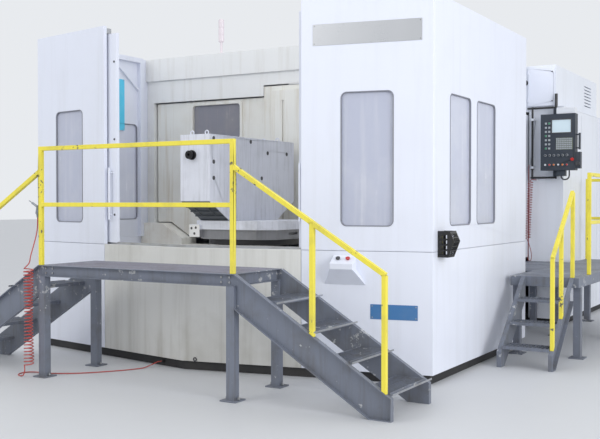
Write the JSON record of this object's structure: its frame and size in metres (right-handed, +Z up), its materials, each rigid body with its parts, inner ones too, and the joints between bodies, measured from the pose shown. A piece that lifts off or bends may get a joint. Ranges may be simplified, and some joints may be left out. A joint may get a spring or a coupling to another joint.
{
  "type": "horizontal machining center",
  "caption": "Horizontal machining center with open pallet loading station, turning divider, angle plate on a pallet, control pendant, railed work platforms and red air hoses.",
  "frame": {"origin": "on the floor, under the middle of the line between the station's two front corners", "axes": "+X to the operator side (right seen from the loading front), +Y back along the machine, +Z up"},
  "size_m": [5.4785, 8.709, 3.8063],
  "materials": {
    "cover_paint": "smooth satin enamel",
    "skirt_paint": "stained satin enamel",
    "plinth_black": "matt",
    "seal_rubber": "matt",
    "window_clear": "scratched clear sheet",
    "window_dark": "smoked clear sheet",
    "deck_paint": "stained satin enamel",
    "track_steel": "worn",
    "divider_paint": "stained enamel",
    "changer_iron": "painted casting",
    "arm_black": "oily black",
    "pallet_steel": "ground",
    "plate_steel": "ground",
    "pin_black": "blackened",
    "housing_paint": "satin enamel",
    "bed_iron": "painted casting",
    "table_steel": "ground",
    "spindle_steel": "ground",
    "pendant_tube": "satin black",
    "pendant_paint": "fine texture",
    "screen": "matt",
    "key_plastic": "moulded",
    "red_plastic": "moulded",
    "black_plastic": "moulded",
    "bin_wire": "powder coat",
    "lamp_plastic": "moulded lenses",
    "platform_paint": "worn enamel",
    "grating_steel": "worn",
    "rail_yellow": "worn enamel",
    "hose_red": "polyurethane hose",
    "gun_metal": "cast"
  },
  "bodies": {
    "enclosure": {"base_plinth": "plinth_black", "left_skirt": "cover_paint", "center_skirt": "skirt_paint", "right_skirt": "cover_paint", "left_front_panel": "cover_paint", "right_front_panel": "cover_paint", "left_side_wall": "cover_paint", "right_side_wall": "cover_paint", "window_seals": "seal_rubber", "station_windows": "window_clear", "station_deck": "deck_paint", "door_tracks": "track_steel", "portal_beam": "divider_paint", "changer_base": "changer_iron", "right_chamber_wall": "housing_paint", "left_chamber_wall": "housing_paint", "rear_housing": "housing_paint", "upper_cabinet": "housing_paint", "machine_bed": "bed_iron", "pallet_console": "cover_paint", "document_bin": "bin_wire", "signal_tower": "lamp_plastic", "platform_frame": "platform_paint", "platform_deck": "grating_steel", "right_stairs": "platform_paint", "left_stairs": "platform_paint", "front_guardrail": "rail_yellow", "operator_platform": "platform_paint", "operator_stairs": "platform_paint", "operator_guardrail": "rail_yellow", "air_hose": "hose_red", "hose_coil": "hose_red", "air_gun": "gun_metal", "side_hose": "hose_red"},
    "left_door": {"left_load_door": "cover_paint"},
    "right_door": {"right_load_door": "cover_paint"},
    "divider": {"divider_panel": "divider_paint", "divider_windows": "window_dark"},
    "changer_arm": {"changer_arm": "arm_black"},
    "front_pallet": {"front_pallet": "pallet_steel", "angle_plate": "plate_steel", "hoist_pin": "pin_black"},
    "rear_pallet": {"rear_pallet": "pallet_steel"},
    "saddle": {"table_saddle": "bed_iron"},
    "table": {"rotary_table": "table_steel"},
    "column": {"column": "bed_iron"},
    "head": {"spindle_head": "bed_iron"},
    "spindle": {"spindle": "spindle_steel"},
    "magazine": {"tool_magazine": "changer_iron"},
    "cabinet_door": {"cabinet_door": "housing_paint"},
    "operator_door": {"operator_door": "housing_paint", "operator_window": "window_clear"},
    "pendant_arm": {"pendant_arm": "pendant_tube"},
    "pendant": {"pendant_housing": "pendant_paint", "pendant_screen": "screen", "pendant_keys": "key_plastic"},
    "e_stop": {"e_stop_button": "red_plastic"},
    "handwheel": {"handwheel": "black_plastic"},
    "red_button": {"red_button": "red_plastic"},
    "black_button": {"black_button": "black_plastic"}
  },
  "joints": [
    {"name": "left_door_slide", "type": "slide", "parent": "enclosure", "child": "left_door", "axis": [0.9812, -0.1929, 0], "range_m": [0, 1.03]},
    {"name": "right_door_slide", "type": "slide", "parent": "enclosure", "child": "right_door", "axis": [-0.9812, -0.1929, 0], "range_m": [0, 1.12]},
    {"name": "divider_turn", "type": "hinge", "parent": "enclosure", "child": "divider", "pos_m": [0, 1.9, 1], "axis": [0, 0, 1], "range_deg": [0, 180]},
    {"name": "arm_lift", "type": "slide", "parent": "divider", "child": "changer_arm", "axis": [0, 0, 1], "range_m": [0, 0.04]},
    {"name": "front_pallet_turn", "type": "hinge", "parent": "changer_arm", "child": "front_pallet", "pos_m": [0, 0.8, 1.3], "axis": [0, 0, 1], "continuous": true},
    {"name": "rear_pallet_turn", "type": "hinge", "parent": "changer_arm", "child": "rear_pallet", "pos_m": [0, 3, 1.3], "axis": [0, 0, 1], "continuous": true},
    {"name": "table_slide", "type": "slide", "parent": "enclosure", "child": "saddle", "axis": [0, 1, 0], "range_m": [0, 1.355]},
    {"name": "table_turn", "type": "hinge", "parent": "saddle", "child": "table", "pos_m": [0, 3, 1], "axis": [0, 0, 1], "continuous": true},
    {"name": "column_slide", "type": "slide", "parent": "enclosure", "child": "column", "axis": [1, 0, 0], "range_m": [-1.03, 1.03]},
    {"name": "head_slide", "type": "slide", "parent": "column", "child": "head", "axis": [0, 0, 1], "range_m": [-0.51, 0.62]},
    {"name": "spindle_turn", "type": "hinge", "parent": "head", "child": "spindle", "pos_m": [0, 5.2, 2], "axis": [0, 1, 0], "continuous": true},
    {"name": "magazine_turn", "type": "hinge", "parent": "enclosure", "child": "magazine", "pos_m": [-2, 5.9, 1.65], "axis": [1, 0, 0], "continuous": true},
    {"name": "cabinet_door_swing", "type": "hinge", "parent": "enclosure", "child": "cabinet_door", "pos_m": [1.85, 4.406, 3.1], "axis": [0, 0, -1], "range_deg": [0, 90]},
    {"name": "operator_door_slide", "type": "slide", "parent": "enclosure", "child": "operator_door", "axis": [0, 1, 0], "range_m": [0, 0.85]},
    {"name": "pendant_swing", "type": "hinge", "parent": "enclosure", "child": "pendant_arm", "pos_m": [1.918, 4.37, 2.4], "axis": [0, 0, 1], "range_deg": [-30, 0]},
    {"name": "pendant_swivel", "type": "hinge", "parent": "pendant_arm", "child": "pendant", "pos_m": [2.22, 4.37, 2.4], "axis": [0, 0, 1], "range_deg": [-30, 15]},
    {"name": "e_stop_press", "type": "slide", "parent": "pendant", "child": "e_stop", "axis": [0, 1, 0], "range_m": [0, 0.005], "stiffness_N_per_m": 800},
    {"name": "handwheel_turn", "type": "hinge", "parent": "pendant", "child": "handwheel", "pos_m": [2.532, 4.19, 2.056], "axis": [0, 1, 0], "continuous": true},
    {"name": "red_button_press", "type": "slide", "parent": "enclosure", "child": "red_button", "axis": [-0.0884, 0.4495, -0.8889], "range_m": [0, 0.005], "stiffness_N_per_m": 600},
    {"name": "black_button_press", "type": "slide", "parent": "enclosure", "child": "black_button", "axis": [-0.0884, 0.4495, -0.8889], "range_m": [0, 0.005], "stiffness_N_per_m": 600}
  ],
  "couplings": [
    {"joint": "rear_pallet_turn", "follows": "table_turn", "ratio": 1}
  ]
}
